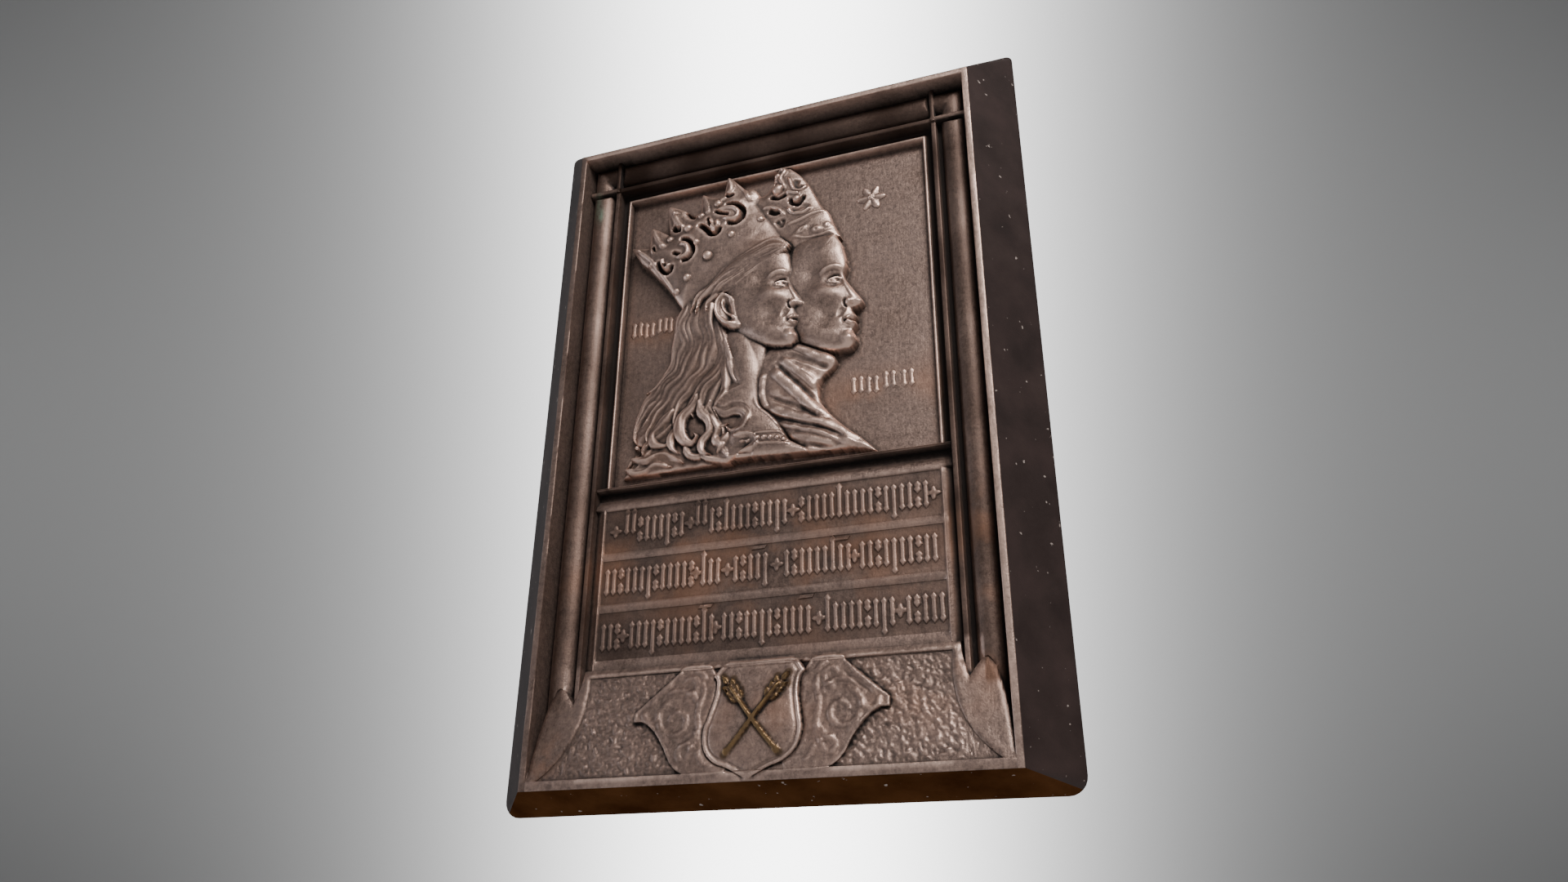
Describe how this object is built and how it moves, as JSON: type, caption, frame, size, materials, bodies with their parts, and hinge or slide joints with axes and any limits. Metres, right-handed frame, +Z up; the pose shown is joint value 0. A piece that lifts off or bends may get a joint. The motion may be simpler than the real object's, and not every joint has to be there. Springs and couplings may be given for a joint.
{
  "type": "commemorative plaque",
  "caption": "Cast bronze wall plaque with a moulded frame, a two-figure portrait relief, an inscription tablet and a sill with three shields.",
  "frame": {"origin": "middle of the flat back face, where the plaque lies against the wall", "axes": "+Y out of the back, into the wall; -Y is the way the relief faces; +Z up the plaque; +X to the right as one looks at the relief"},
  "size_m": [0.2974, 0.0281, 0.4296],
  "materials": {
    "bronze": "dark brown patina on cast bronze, rubbed to pinkish copper on the high edges"
  },
  "bodies": {
    "root": {"plaque": "bronze"}
  },
  "joints": []
}
